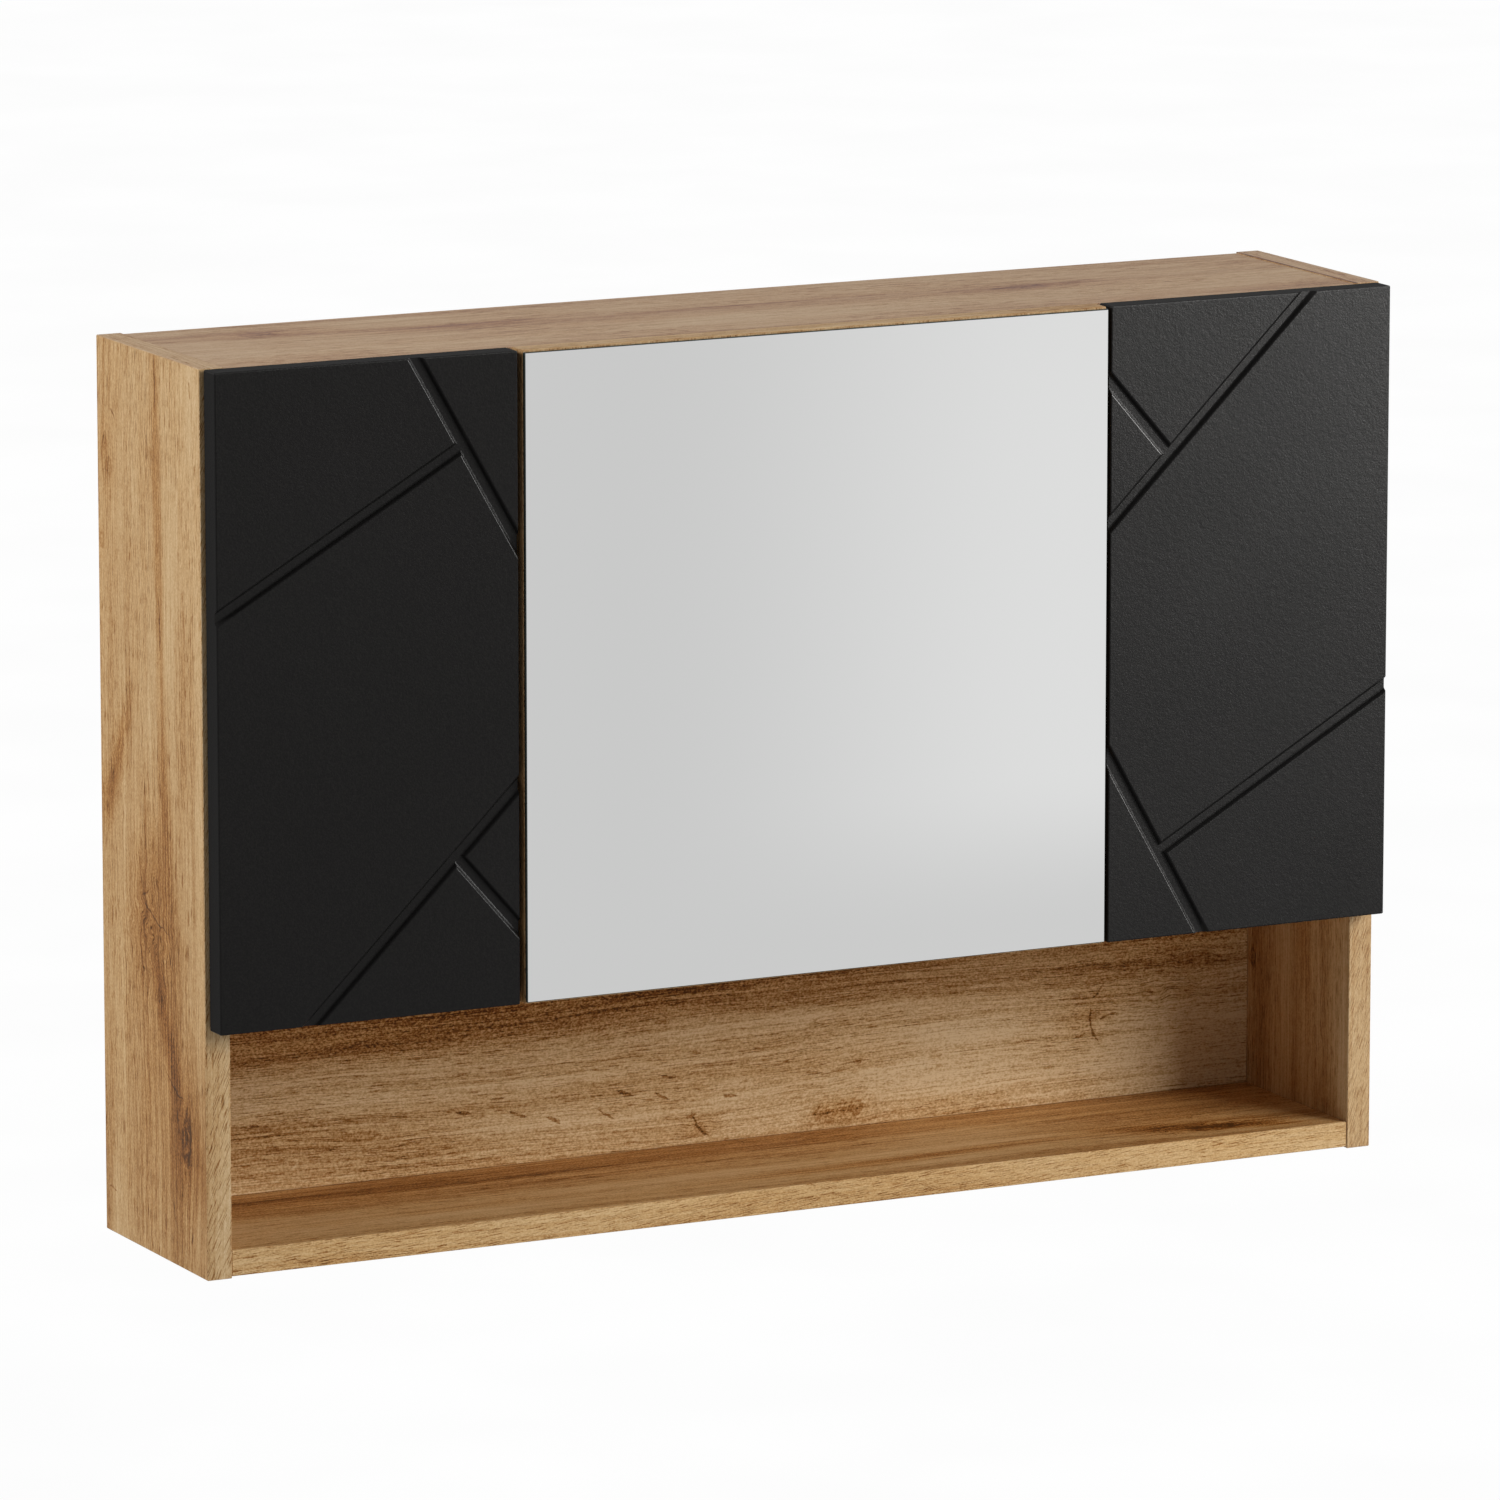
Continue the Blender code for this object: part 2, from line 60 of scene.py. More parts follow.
# ---------------------------------------------------------------- node helper
class Tree:
    """A material's node tree, written as expressions. Values are sockets or numbers."""

    def __init__(self, name):
        self.mat = bpy.data.materials.new(name)
        self.mat.use_nodes = True
        self.tree = self.mat.node_tree
        self.tree.nodes.clear()
        self.out = self.tree.nodes.new("ShaderNodeOutputMaterial")

    def put(self, socket, value):
        if isinstance(value, bpy.types.NodeSocket):
            self.tree.links.new(value, socket)
        elif isinstance(value, (tuple, list)) and len(value) == 3 and socket.type == "RGBA":
            socket.default_value = (*value, 1.0)
        else:
            socket.default_value = value

    def add(self, kind, inputs=None, **props):
        node = self.tree.nodes.new(kind)
        for key, value in props.items():
            setattr(node, key, value)
        for key, value in (inputs or {}).items():
            self.put(node.inputs[key], value)
        return node

    def math(self, op, a, b=0.0, c=None, clamp=False):
        node = self.add("ShaderNodeMath", operation=op, use_clamp=clamp)
        self.put(node.inputs[0], a)
        self.put(node.inputs[1], b)
        if c is not None:
            self.put(node.inputs[2], c)
        return node.outputs[0]

    def sum(self, *terms):
        total = terms[0]
        for term in terms[1:]:
            total = self.math("ADD", total, term)
        return total

    def mul(self, a, b):
        return self.math("MULTIPLY", a, b)

    def range(self, value, low, high, to_low=0.0, to_high=1.0, smooth=True):
        node = self.add("ShaderNodeMapRange", interpolation_type="SMOOTHSTEP" if smooth else "LINEAR", clamp=True)
        for k, v in zip(("Value", "From Min", "From Max", "To Min", "To Max"), (value, low, high, to_low, to_high)):
            self.put(node.inputs[k], v)
        return node.outputs[0]

    def xyz(self, x, y, z):
        node = self.add("ShaderNodeCombineXYZ")
        for k, v in zip("XYZ", (x, y, z)):
            self.put(node.inputs[k], v)
        return node.outputs[0]

    def split(self, vector):
        node = self.add("ShaderNodeSeparateXYZ")
        self.put(node.inputs[0], vector)
        return node.outputs

    def noise(self, vector, scale=1.0, detail=2.0, rough=0.5, distortion=0.0):
        node = self.add("ShaderNodeTexNoise", noise_dimensions="3D")
        self.put(node.inputs["Vector"], vector)
        node.inputs["Scale"].default_value = scale
        node.inputs["Detail"].default_value = detail
        node.inputs["Roughness"].default_value = rough
        node.inputs["Distortion"].default_value = distortion
        return node.outputs[0]

    def mix(self, factor, a, b, blend="MIX"):
        node = self.add("ShaderNodeMix", data_type="RGBA", blend_type=blend)
        self.put(node.inputs[0], factor)
        self.put(node.inputs[6], a)
        self.put(node.inputs[7], b)
        return node.outputs[2]

    def fmix(self, factor, a, b):
        node = self.add("ShaderNodeMix", data_type="FLOAT")
        self.put(node.inputs[0], factor)
        self.put(node.inputs[2], a)
        self.put(node.inputs[3], b)
        return node.outputs[0]

    def bump(self, height, distance, strength=1.0, normal=None):
        node = self.add("ShaderNodeBump")
        node.inputs["Strength"].default_value = strength
        node.inputs["Distance"].default_value = distance
        self.put(node.inputs["Height"], height)
        if normal is not None:
            self.put(node.inputs["Normal"], normal)
        return node.outputs[0]

    def surface(self, **inputs):
        names = {"color": "Base Color", "rough": "Roughness", "metal": "Metallic", "normal": "Normal",
                 "ior": "IOR", "coat": "Coat Weight", "coat_rough": "Coat Roughness",
                 "specular": "Specular IOR Level", "transmission": "Transmission Weight",
                 "anisotropic": "Anisotropic", "sheen": "Sheen Weight"}
        shader = self.add("ShaderNodeBsdfPrincipled")
        for key, value in inputs.items():
            self.put(shader.inputs[names[key]], value)
        self.tree.links.new(shader.outputs[0], self.out.inputs[0])
        return self.mat


def lin(r, g, b):
    """An sRGB colour, 0 to 255, as linear values."""
    return tuple((c / 255 / 12.92) if c <= 10 else ((c / 255 + 0.055) / 1.055) ** 2.4 for c in (r, g, b))


# ---------------------------------------------------------------- oak laminate
SHADES = (
    (0.00, (227, 199, 158)), (0.22, (212, 179, 133)), (0.42, (193, 153, 104)), (0.60, (167, 122, 71)),
    (0.76, (144, 96, 46)), (0.90, (115, 73, 28)), (1.00, (82, 53, 20)),
)


def local(t, q, a, b, ra, rb, angle=0.0):
    """q seen from a feature at (a, b) in mm, in units of its half sizes ra and rb."""
    node = t.add("ShaderNodeMapping", vector_type="TEXTURE")
    t.put(node.inputs["Vector"], q)
    node.inputs["Location"].default_value = (a / 1000, b / 1000, 0)
    node.inputs["Rotation"].default_value = (0, 0, math.radians(angle))
    node.inputs["Scale"].default_value = (ra / 1000, rb / 1000, 1)
    return node.outputs[0]


def bell(t, vector):
    node = t.add("ShaderNodeVectorMath", operation="DOT_PRODUCT")
    t.put(node.inputs[0], vector)
    t.put(node.inputs[1], vector)
    return t.math("EXPONENT", t.mul(node.outputs["Value"], -1.0)), node.outputs["Value"]


def oak(name, grain, across, seed, knots=(), stains_and_shade=(), cracks=(), swirls=(), warm_tone_and_painted_bounce=0.0, base=0.0, flecks=1.0, contrast=1.0, gloss=0.5, painted_sheen=0.0, painted_sheen_ends=0.0, painted_light=0.0, glue_line_and_shade=(0.0, 0.0), rough_cut=1.0, slant=-0.36, painted_brightening=(1.0, 1.0, 1.0)):
    """Oak-look laminate. grain is the axis that the grain runs along and across the one it is spread over.
    Features sit at (along, across) in mm on the board's faces: knots and swirls (a, b, ra, rb, force),
    stains (a, b, ra, rb, angle, force), real marks and on some boards painted shade and light, cracks (a, b, length,
    angle, bow, width, force).
    cool greys the face and cap the ends towards lilac, a painted sheen. lift lightens the banded edges as painted
    light, and a negative lift darkens them as painted shade.
    seam is the place and force on an end of a dark line where two boards meet, an adhesive line with painted shade of
    the joint. warm is a steady yellow cast, partly painted bounce light.
    rough_cut is how broken the fibres look, slant the lean of the pores on the edges, and bleach a tint over the whole
    board, which lightens it as painted light."""
    t = Tree(name)
    coords = t.add("ShaderNodeTexCoord")
    p = t.split(coords.outputs["Object"])
    n = t.split(coords.outputs["Normal"])
    axis = {"X": 0, "Y": 1, "Z": 2}
    g, e = axis[grain], axis[across]
    o = 3 - g - e
    end = t.math("GREATER_THAN", t.math("ABSOLUTE", n[g]), 0.6)
    edge = t.math("GREATER_THAN", t.math("ABSOLUTE", n[e]), 0.6)
    a = t.fmix(end, p[g], p[e])
    b = t.fmix(end, t.fmix(edge, p[e], p[o]), p[o])
    c = t.fmix(end, t.fmix(edge, p[o], p[e]), p[g])
    off = seed * 3.17

    q = t.xyz(a, b, 0.0)
    wob_a = t.math("SUBTRACT", t.noise(t.xyz(t.mul(a, 60.0), t.mul(b, 110.0), off), 1.0, 1.0), 0.5)
    wob_b = t.math("SUBTRACT", t.noise(t.xyz(t.mul(a, 55.0), t.mul(b, 130.0), off + 7.0), 1.0, 1.0), 0.5)
    q = t.xyz(t.math("MULTIPLY_ADD", wob_a, 0.0060, a), t.math("MULTIPLY_ADD", wob_b, 0.0030, b), 0.0)

    # Knots push the grain aside, and swirls stir it.
    flow = b
    core = 0.0
    halo = 0.0
    for ka, kb, ra, rb, force in knots:
        near, _ = bell(t, local(t, q, ka, kb, ra * 3.6, rb * 3.0))
        reach = t.mul(near, -0.80 * min(force, 1.0))
        flow = t.math("MULTIPLY_ADD", t.math("SUBTRACT", flow, kb / 1000), reach, flow)
        inside, r2 = bell(t, local(t, q, ka, kb, ra, rb))
        ragged = t.noise(t.xyz(t.mul(a, 150.0), t.mul(b, 330.0), off + ka), 1.0, 2.0, 0.6)
        r = t.math("MULTIPLY_ADD", t.math("SUBTRACT", ragged, 0.5), 1.5, t.math("SQRT", r2))
        ring = t.math("SINE", t.math("MULTIPLY_ADD", r, 8.5, t.mul(wob_b, 6.0)))
        ring = t.mul(t.math("MULTIPLY_ADD", ring, 0.5, 0.5), t.range(r, 0.5, 2.2, 1.0, 0.0))
        rim = t.mul(t.range(r, 0.55, 0.95), t.range(r, 1.05, 1.6, 1.0, 0.0))
        core = t.math("MULTIPLY_ADD", t.range(r, 0.25, 0.75, 1.0, 0.0), 0.30 * force, core)
        core = t.math("MULTIPLY_ADD", rim, 0.34 * force, core)
        halo = t.math("MULTIPLY_ADD", ring, 0.16 * force, halo)
        halo = t.math("MULTIPLY_ADD", near, 0.16 * force, halo)
    for ka, kb, ra, rb, force in swirls:
        near, _ = bell(t, local(t, q, ka, kb, ra, rb))
        stir = t.noise(t.xyz(t.mul(a, 48.0), t.mul(b, 60.0), off + 2.0), 1.0, 2.0)
        flow = t.math("MULTIPLY_ADD", t.mul(t.math("SUBTRACT", stir, 0.5), near), 0.050 * force, flow)
        halo = t.math("MULTIPLY_ADD", near, 0.10 * force, halo)

    bend = t.noise(t.xyz(t.mul(a, 2.2), t.mul(b, 8.0), t.math("MULTIPLY_ADD", c, 8.0, off)), 1.0, 1.0)
    bend2 = t.noise(t.xyz(t.mul(a, 13.0), t.mul(b, 40.0), t.math("MULTIPLY_ADD", c, 40.0, off)), 1.0, 1.0)
    flow = t.math("MULTIPLY_ADD", t.math("SUBTRACT", bend, 0.5), 0.030, flow)
    flow = t.math("MULTIPLY_ADD", t.math("SUBTRACT", bend2, 0.5), 0.0040, flow)

    def layer(along, spread, detail=2.0, rough=0.55, shift=0.0):
        v = t.xyz(t.math("MULTIPLY_ADD", a, along, shift + off), t.mul(flow, spread), t.mul(c, spread))
        return t.noise(v, 1.0, detail, rough)

    broad = layer(1.3, 24.0, 2.0, 0.5)
    band = layer(2.6, 85.0, 2.0, 0.6, 4.0)
    line = layer(4.5, 430.0, 2.0, 0.65, 9.0)
    fibre = layer(14.0, 1150.0, 1.0, 0.6, 13.0)
    cloud = t.noise(t.xyz(t.mul(a, 9.0), t.mul(b, 20.0), t.math("MULTIPLY_ADD", c, 20.0, off)), 1.0, 2.0)
    mottle = t.noise(t.xyz(t.mul(a, 190.0), t.mul(flow, 620.0), t.math("MULTIPLY_ADD", c, 620.0, off)), 1.0, 2.0, 0.65)

    shade = t.math("MULTIPLY_ADD", t.math("SUBTRACT", broad, 0.5), 0.42, 0.315 + base)
    shade = t.math("MULTIPLY_ADD", t.math("SUBTRACT", band, 0.5), 0.30 * contrast, shade)
    shade = t.math("MULTIPLY_ADD", t.math("SUBTRACT", line, 0.5), 0.56 * contrast, shade)
    shade = t.math("MULTIPLY_ADD", t.math("SUBTRACT", fibre, 0.5), 0.27 + 0.15 * rough_cut, shade)
    shade = t.math("MULTIPLY_ADD", t.math("SUBTRACT", cloud, 0.5), 0.15, shade)
    shade = t.math("MULTIPLY_ADD", t.math("SUBTRACT", mottle, 0.5), 0.34, shade)
    brown = t.range(t.math("ADD", broad, t.mul(band, 0.35)), 0.70, 0.86)
    shade = t.math("MULTIPLY_ADD", brown, 0.10, shade)

    patch = 0.0
    for ka, kb, ra, rb, angle, force in stains_and_shade:
        near, _ = bell(t, local(t, q, ka, kb, ra, rb, angle))
        patch = t.math("MULTIPLY_ADD", near, force, patch)
    streaky = t.math("MULTIPLY_ADD", t.math("SUBTRACT", t.math("ADD", line, band), 1.0), 1.15, 0.95)
    shade = t.math("MULTIPLY_ADD", t.math("ADD", patch, halo), streaky, shade)

    # Grit breaks the fibres up, most of all in the dark marks.
    grit = t.noise(t.xyz(t.mul(a, 620.0), t.mul(flow, 880.0), t.math("MULTIPLY_ADD", c, 880.0, off)), 1.0, 1.0, 0.6)
    coarse = t.math("MULTIPLY_ADD", t.math("ADD", patch, halo, clamp=True), 0.80 * rough_cut, 0.40 * rough_cut)
    shade = t.math("MULTIPLY_ADD", t.math("SUBTRACT", grit, 0.5), coarse, shade)
    # Painted light and shade on the banded edges: lift lightens them, and a negative lift darkens them.
    shade = t.math("MULTIPLY_ADD", edge, -painted_light, shade)
    # A dark line on the ends where the side boards meet the top: an adhesive line, with painted shade of the gap in the
    # joint.
    glue_and_shade_line = t.mul(t.range(t.math("ABSOLUTE", t.math("SUBTRACT", p[o], glue_line_and_shade[0])), 0.0006, 0.0012, 1.0, 0.0), end)
    shade = t.math("MULTIPLY_ADD", glue_and_shade_line, glue_line_and_shade[1], shade)

    # Pores are short dark dashes. On the banded edges they lie aslant.
    pore_b = t.math("MULTIPLY_ADD", t.mul(a, edge), slant, flow)
    thin = t.math("MULTIPLY_ADD", edge, 550.0, 1300.0)
    pore_v = t.xyz(t.math("MULTIPLY_ADD", a, 88.0, off), t.mul(pore_b, thin), t.mul(c, 1300.0))
    pore_n = t.noise(pore_v, 1.0, 1.0, 0.5)
    patchy = t.range(t.math("ADD", cloud, t.mul(band, 0.6)), 0.62, 0.92, 0.25, 1.0)
    pores = t.mul(t.range(pore_n, 0.585, 0.630), t.math("MAXIMUM", patchy, t.mul(edge, 0.8)))
    shade = t.math("MULTIPLY_ADD", pores, t.math("MULTIPLY_ADD", edge, 0.16, 0.31), shade)

    # Hair lines are long, hard-edged and hardly wider than a scratch.
    hair_n = t.noise(t.xyz(t.math("MULTIPLY_ADD", a, 34.0, off + 21.0), t.mul(flow, 2100.0), t.mul(c, 2100.0)), 1.0, 1.0, 0.5)
    hair = t.mul(t.range(hair_n, 0.585, 0.635), t.math("SUBTRACT", 1.0, edge))
    shade = t.math("MULTIPLY_ADD", hair, 0.17, shade)

    # Flecks are larger and rarer, in loose groups.
    cells = t.add("ShaderNodeTexVoronoi", voronoi_dimensions="3D", feature="F1")
    cells.inputs["Scale"].default_value = 1.0
    t.put(cells.inputs["Vector"], t.xyz(t.math("MULTIPLY_ADD", a, 46.0, off), t.mul(flow, 260.0), t.mul(c, 260.0)))
    rare = t.split(cells.outputs["Color"])[0]
    group = t.noise(t.xyz(t.mul(a, 9.0), t.mul(b, 22.0), off + 11.0), 1.0, 1.0)
    fleck = t.mul(t.range(cells.outputs["Distance"], 0.16, 0.30, 1.0, 0.0), t.math("GREATER_THAN", rare, 0.72))
    fleck = t.mul(fleck, t.range(group, 0.50, 0.62, 0.0, 1.0))
    shade = t.math("MULTIPLY_ADD", fleck, 0.28 * flecks, shade)

    split = 0.0
    tatter = t.math("SUBTRACT", t.noise(t.xyz(t.mul(a, 420.0), t.mul(b, 420.0), off), 1.0, 1.0), 0.5)
    for ka, kb, length, angle, bow, width, force in cracks:
        v = t.split(local(t, q, ka, kb, length / 2, width, angle))
        x2 = t.mul(v[0], v[0])
        y = t.math("MULTIPLY_ADD", x2, -bow, t.math("MULTIPLY_ADD", tatter, 1.7, v[1]))
        reach = t.math("MULTIPLY_ADD", x2, x2, t.math("ABSOLUTE", y))
        split = t.math("MAXIMUM", split, t.range(reach, 0.35, 1.15, force, 0.0))
    shade = t.math("MULTIPLY_ADD", split, 0.44, t.math("ADD", shade, core))

    ramp = t.add("ShaderNodeValToRGB")
    t.put(ramp.inputs[0], shade)
    stops = ramp.color_ramp.elements
    while len(stops) < len(SHADES):
        stops.new(0.5)
    for stop, (at, rgb) in zip(stops, SHADES):
        stop.position = at
        stop.color = (*lin(*rgb), 1.0)
    color = ramp.outputs[0]
    tilt = t.range(t.math("ADD", cloud, t.mul(broad, 0.5)), 0.55, 0.95)
    # The grain tilts the colour towards yellow at random. The warm argument adds a steady cast of the same colour,
    # partly the board's own tone and partly painted bounce light inside the niche.
    color = t.mix(t.math("MULTIPLY_ADD", tilt, 0.30, warm_tone_and_painted_bounce), color, (1.0, 0.91, 0.76), "MULTIPLY")

    amber = t.math("MULTIPLY", t.math("ADD", patch, halo), 2.2, clamp=True)
    color = t.mix(amber, color, (1.0, 0.87, 0.65), "MULTIPLY")

    # Painted sheen: the top board and the side boards' ends are mixed towards a lilac grey, standing in for the pale
    # reflection that up-facing faces show.
    color = t.mix(t.math("MULTIPLY_ADD", end, painted_sheen_ends, painted_sheen), color, (0.49, 0.41, 0.52))
    # A tint over the whole board. On the niche back it lightens the board as painted light, since little light reaches
    # it.
    color = t.mix(1.0, color, painted_brightening, "MULTIPLY")

    emboss = t.noise(t.xyz(t.mul(a, 500.0), t.mul(flow, 1500.0), t.mul(c, 1500.0)), 1.0, 1.0)
    height = t.math("MULTIPLY_ADD", pores, -1.0, t.mul(split, -1.4))
    height = t.math("MULTIPLY_ADD", fleck, -0.8, height)
    height = t.math("MULTIPLY_ADD", line, 0.45, height)
    height = t.math("MULTIPLY_ADD", emboss, 0.40, height)
    normal = t.bump(height, 0.00022, 0.65)
    rough = t.math("MULTIPLY_ADD", pores, 0.15, t.math("MULTIPLY_ADD", t.math("SUBTRACT", line, 0.5), 0.16, 0.52))
    return t.surface(color=color, rough=rough, normal=normal, specular=gloss)


# ---------------------------------------------------------------- black foil
def foil(name):
    t = Tree(name)
    coords = t.add("ShaderNodeTexCoord")
    p = coords.outputs["Object"]
    peel = t.noise(p, 950.0, 2.0, 0.65)
    soft = t.noise(p, 240.0, 2.0, 0.5)
    cloud = t.noise(p, 9.0, 2.0, 0.5)
    color = t.mix(t.range(peel, 0.35, 0.70), lin(20, 19, 19), lin(27, 26, 25))
    height = t.sum(t.mul(peel, 1.0), t.mul(soft, 0.8))
    normal = t.bump(height, 0.00018, 0.6)
    rough = t.sum(0.34, t.mul(t.math("SUBTRACT", cloud, 0.5), 0.06), t.mul(t.math("SUBTRACT", peel, 0.5), 0.08))
    # The wrapped edges all round are duller than the face.
    n = t.split(coords.outputs["Normal"])
    ends = t.math("MAXIMUM", t.range(t.math("ABSOLUTE", n[2]), 0.80, 0.95), t.range(t.math("ABSOLUTE", n[0]), 0.90, 0.97))
    rough = t.fmix(ends, rough, 0.70)
    return t.surface(color=color, rough=rough, normal=normal, specular=0.11)


# ---------------------------------------------------------------- mirror
def mirror(name):
    t = Tree(name)
    coords = t.add("ShaderNodeTexCoord")
    n = t.split(coords.outputs["Normal"])
    face = t.range(t.math("MULTIPLY", n[1], -1.0), 0.90, 0.98)
    color = t.mix(face, lin(52, 60, 56), lin(238, 239, 239))
    rough = t.fmix(face, 0.18, 0.0)
    metal = t.fmix(face, 0.25, 1.0)
    return t.surface(color=color, rough=rough, metal=metal)


def steel(name, color, rough, scale=420.0):
    t = Tree(name)
    coords = t.add("ShaderNodeTexCoord")
    p = t.split(coords.outputs["Object"])
    brush = t.noise(t.xyz(t.mul(p[0], 160.0), t.mul(p[1], 160.0), t.mul(p[2], 2400.0)), 1.0, 2.0, 0.6)
    spot = t.noise(coords.outputs["Object"], scale, 3.0, 0.6)
    shade = t.mix(t.range(spot, 0.3, 0.75), color, tuple(c * 0.82 for c in color))
    r = t.sum(rough, t.mul(t.math("SUBTRACT", brush, 0.5), 0.16), t.mul(t.math("SUBTRACT", spot, 0.5), 0.10))
    return t.surface(color=shade, rough=r, metal=1.0, normal=t.bump(brush, 0.00002, 0.4))


def plain(name, color, dark, rough, scale=300.0, depth=0.00005, **more):
    t = Tree(name)
    coords = t.add("ShaderNodeTexCoord")
    grainy = t.noise(coords.outputs["Object"], scale, 3.0, 0.6)
    shade = t.mix(t.range(grainy, 0.3, 0.7), color, dark)
    r = t.math("ADD", rough, t.mul(t.math("SUBTRACT", grainy, 0.5), 0.12))
    return t.surface(color=shade, rough=r, normal=t.bump(grainy, depth, 0.5), **more)


def wear(node, mat):
    NODES[node].data.materials.clear()
    NODES[node].data.materials.append(mat)


# Marks on the boards that show, and on some boards painted shade and light: (along the grain, across it) in mm.
oak_side_l = oak(
    "oak_side_left", "Z", "Y", 1.0,
    knots=((72, -124, 12, 5.5, 0.78), (478, -11, 4, 2.6, 0.5), (419, -5, 4, 2.4, 0.5), (464, -17, 5, 4, 0.3)),
    swirls=((190, -72, 42, 32, 0.60), (285, -30, 30, 14, 0.4)),
    stains_and_shade=(
        (420, -90, 170, 6, 1.5, 0.21), (480, -84, 70, 4, 1, 0.10), (192, -76, 38, 26, 10, 0.15), (132, -96, 42, 8, 21, 0.30),
        (57, -144, 26, 8, 8, 0.18), (292, -28, 40, 8, -24, 0.30), (262, -8, 18, 9, 0, 0.20), (64, -118, 44, 24, 6, 0.14),
        # (300, -152) lightens the front strip as painted light and (300, -4) darkens the back strip as painted shade;
        # (50, -76) darkens the lower part.
        (250, -98, 60, 8, 4, 0.22), (236, -82, 30, 10, 12, 0.16), (350, -126, 70, 4, 0, 0.10), (105, -84, 150, 60, 0, 0.09), (150, -90, 110, 20, 2, 0.05), (205, -60, 56, 14, -6, 0.10), (100, -70, 60, 10, -10, 0.08), (300, -152, 420, 32, 0, -0.09), (300, -4, 420, 30, 0, 0.07), (50, -76, 90, 60, 0, 0.05),
    ),
    cracks=(
        (525, -87, 38, 1, 1.2, 0.9, 0.9), (484, -74, 18, -3, 0.5, 0.9, 0.8), (381, -91, 36, 2, 1.0, 1.0, 0.9),
        (527, -139, 12, 8, 0.3, 0.8, 0.8), (490, -121, 18, -5, 0.5, 0.8, 0.8), (498, -24, 10, 50, 1.5, 0.8, 0.9),
        (464, -15, 12, 4, 2.0, 0.8, 0.5), (198, -80, 46, -112, 4.0, 0.7, 0.7), (180, -101, 18, 25, 1.0, 0.8, 0.6),
        (100, -106, 36, -118, 3.0, 0.8, 0.6), (212, -66, 16, -60, 1.0, 0.8, 0.5), (168, -90, 20, 18, -1.0, 0.8, 0.5), (24, -105, 12, 12, 0.4, 0.9, 0.8), (11, -131, 10, -14, 0.3, 0.9, 0.8),
        (19, -12, 14, 80, 2.0, 0.7, 0.6), (72, -122, 16, 8, 0.8, 0.9, 0.5), (319, -37, 10, 20, 0.5, 0.8, 0.7),
    ),
    # Painted: lift lightens the front edge band, cap greys the top end as a sheen, and seam darkens the joint with the
    # top as an adhesive line with painted shade.
    contrast=0.76, gloss=0.26, painted_sheen_ends=0.10, painted_light=0.05, glue_line_and_shade=(-0.384, 0.18),
)
oak_side_r = oak(
    "oak_side_right", "Z", "Y", 2.3,
    knots=((318, -64, 12, 6, 1.0), (92, -30, 5, 3, 0.7)),
    swirls=((318, -64, 44, 24, 0.7),),
    stains_and_shade=((300, -84, 120, 8, 1, 0.22), (420, -40, 80, 9, -3, 0.16), (110, -96, 60, 9, 6, 0.20)),
    cracks=((262, -78, 30, 6, 1.5, 0.9, 0.9), (452, -98, 18, -4, 0.6, 0.8, 0.8), (60, -118, 14, 10, 0.4, 0.8, 0.8)),
    # Its top end is greyed by cap as a painted sheen, and seam darkens the joint with the top: an adhesive line with
    # painted shade.
    painted_sheen_ends=0.14, glue_line_and_shade=(0.384, 0.60),
)
# The whole top board is greyed towards lilac by cool as a painted sheen.
oak_top = oak(
    "oak_top", "X", "Y", 3.1,
    contrast=0.62, painted_sheen=0.13, knots=((-311, -37, 9, 4.5, 0.6), (196, -71, 12, 5.5, 0.45)),
    stains_and_shade=((-185, -60, 46, 7, 2, 0.24), (-200, -110, 70, 16, 0, 0.07), (-85, -88, 70, 6, 0, 0.14), (30, -60, 80, 7, 2, 0.10), (240, -74, 70, 14, 0, 0.06), (-290, -44, 50, 12, 0, 0.08), (140, -80, 120, 60, 0, -0.04)),
)
oak_floor = oak(
    "oak_floor", "X", "Y", 4.4,
    knots=((302, -128, 13, 6.0, 0.75),),
    swirls=((296, -120, 46, 22, 0.4),),
    stains_and_shade=(
        (70, -119, 130, 7, 2.5, 0.36), (150, -112, 60, 6, 3, 0.18), (-215, -112, 90, 8, 1, 0.16), (262, -112, 46, 9, -16, 0.40),
        # (-20, -40), (320, -48) and (-345, -56) are painted shade: the back strip of the floor and its back corners,
        # darker where the shelf above shades them.
        (336, -134, 28, 6, -12, 0.40), (290, -80, 90, 34, 0, 0.19), (325, -122, 50, 14, 0, 0.12), (-20, -40, 400, 24, 0, 0.32), (320, -48, 110, 36, 0, 0.17), (-345, -56, 130, 28, 0, 0.20), (-60, -72, 160, 8, 0, 0.10),
    ),
    # warm here is partly painted bounce light inside the niche.
    warm_tone_and_painted_bounce=0.72, gloss=0.2, base=-0.105, rough_cut=1.9, slant=-0.10,
)
